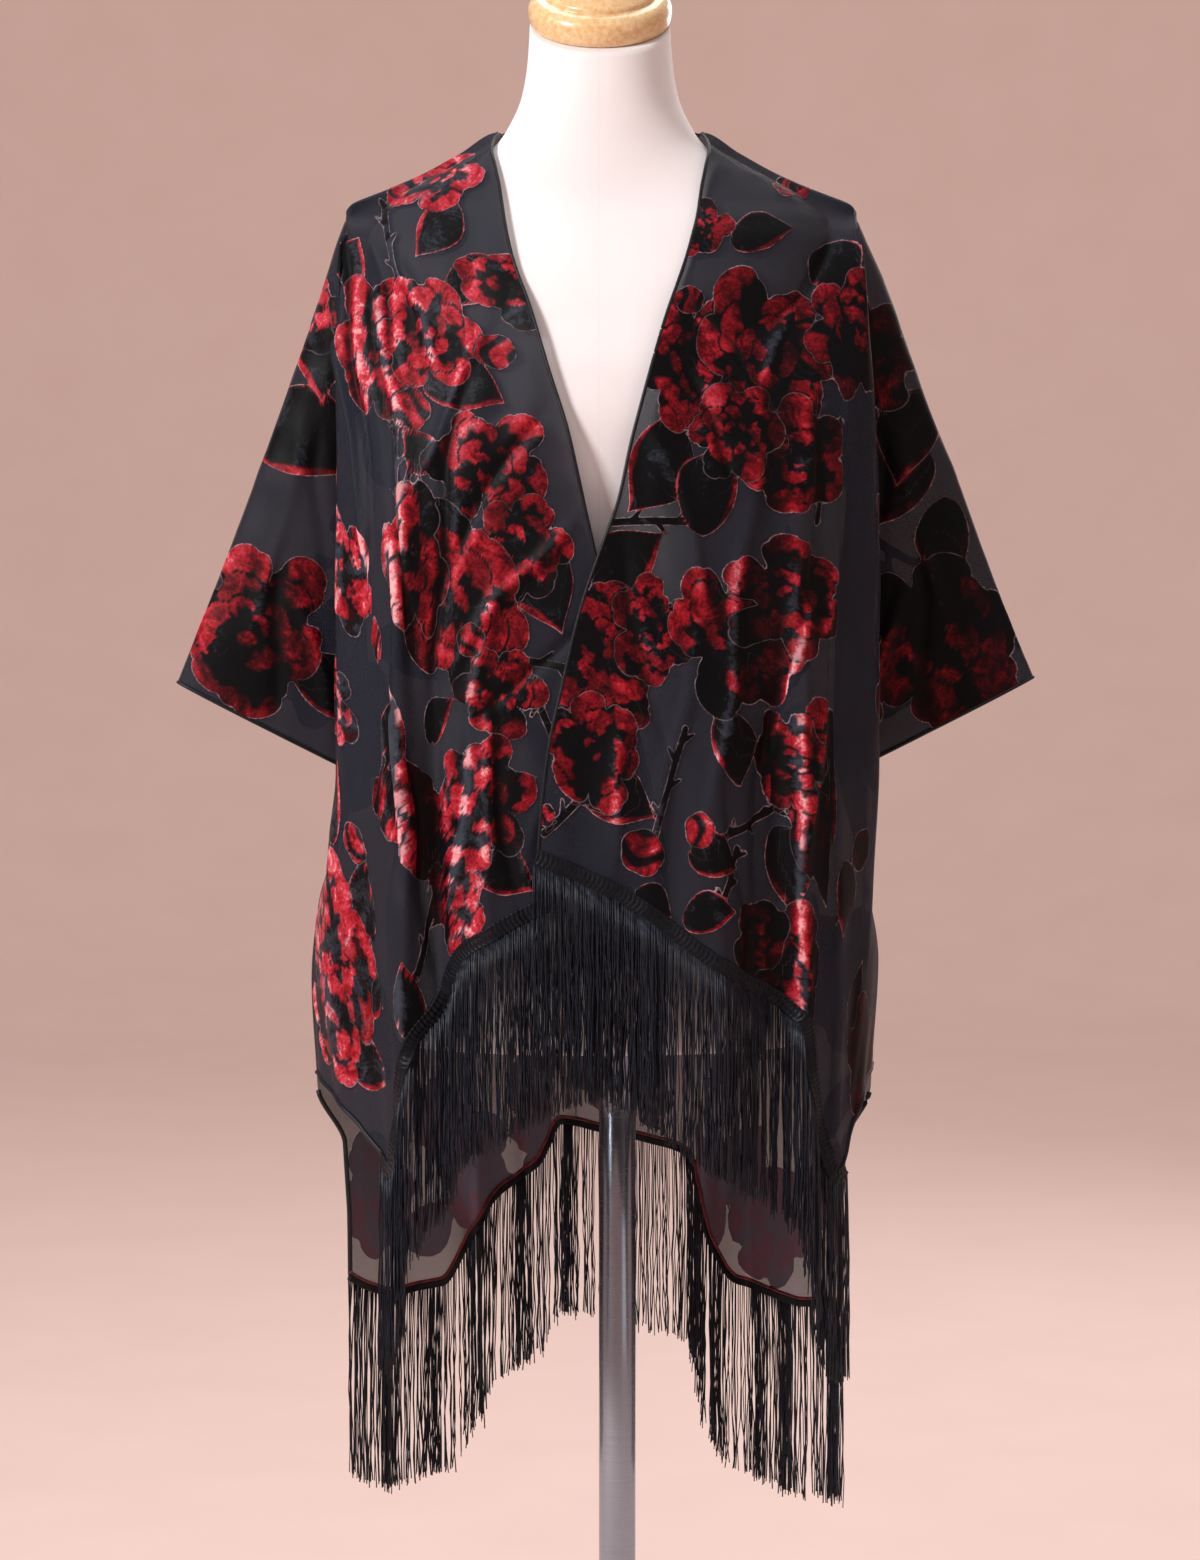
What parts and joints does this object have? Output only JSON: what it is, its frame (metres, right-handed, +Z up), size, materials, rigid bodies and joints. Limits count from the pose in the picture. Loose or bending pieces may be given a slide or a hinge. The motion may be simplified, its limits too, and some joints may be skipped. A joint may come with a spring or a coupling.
{
  "type": "kimono cardigan on a dress form",
  "caption": "Open-front kimono cardigan of sheer black cloth with a raised red floral velvet pattern and a fringed high-low hem, worn on a limbless dress form on a pole stand.",
  "frame": {"origin": "centre of the stand base's underside, on the floor", "axes": "+Z up along the pole, -Y towards the open front, +X towards the wearer's left"},
  "size_m": [0.6629, 0.3005, 1.5452],
  "materials": {
    "devore_cloth": "sheer black chiffon with a raised red and black velvet pile",
    "fringe": "blue-black rayon cord",
    "jersey": "off-white knitted cover",
    "wood": "clear varnish",
    "steel": "polished"
  },
  "bodies": {
    "root": {"kimono_back": "devore_cloth", "kimono_front_left": "devore_cloth", "kimono_front_right": "devore_cloth", "kimono_sleeve_left": "devore_cloth", "kimono_sleeve_right": "devore_cloth", "fringe_front_left": "fringe", "fringe_front_right": "fringe", "fringe_back": "fringe", "form_torso": "jersey", "form_neck_cap": "wood", "stand_pole": "steel", "stand_base": "steel"}
  },
  "joints": []
}
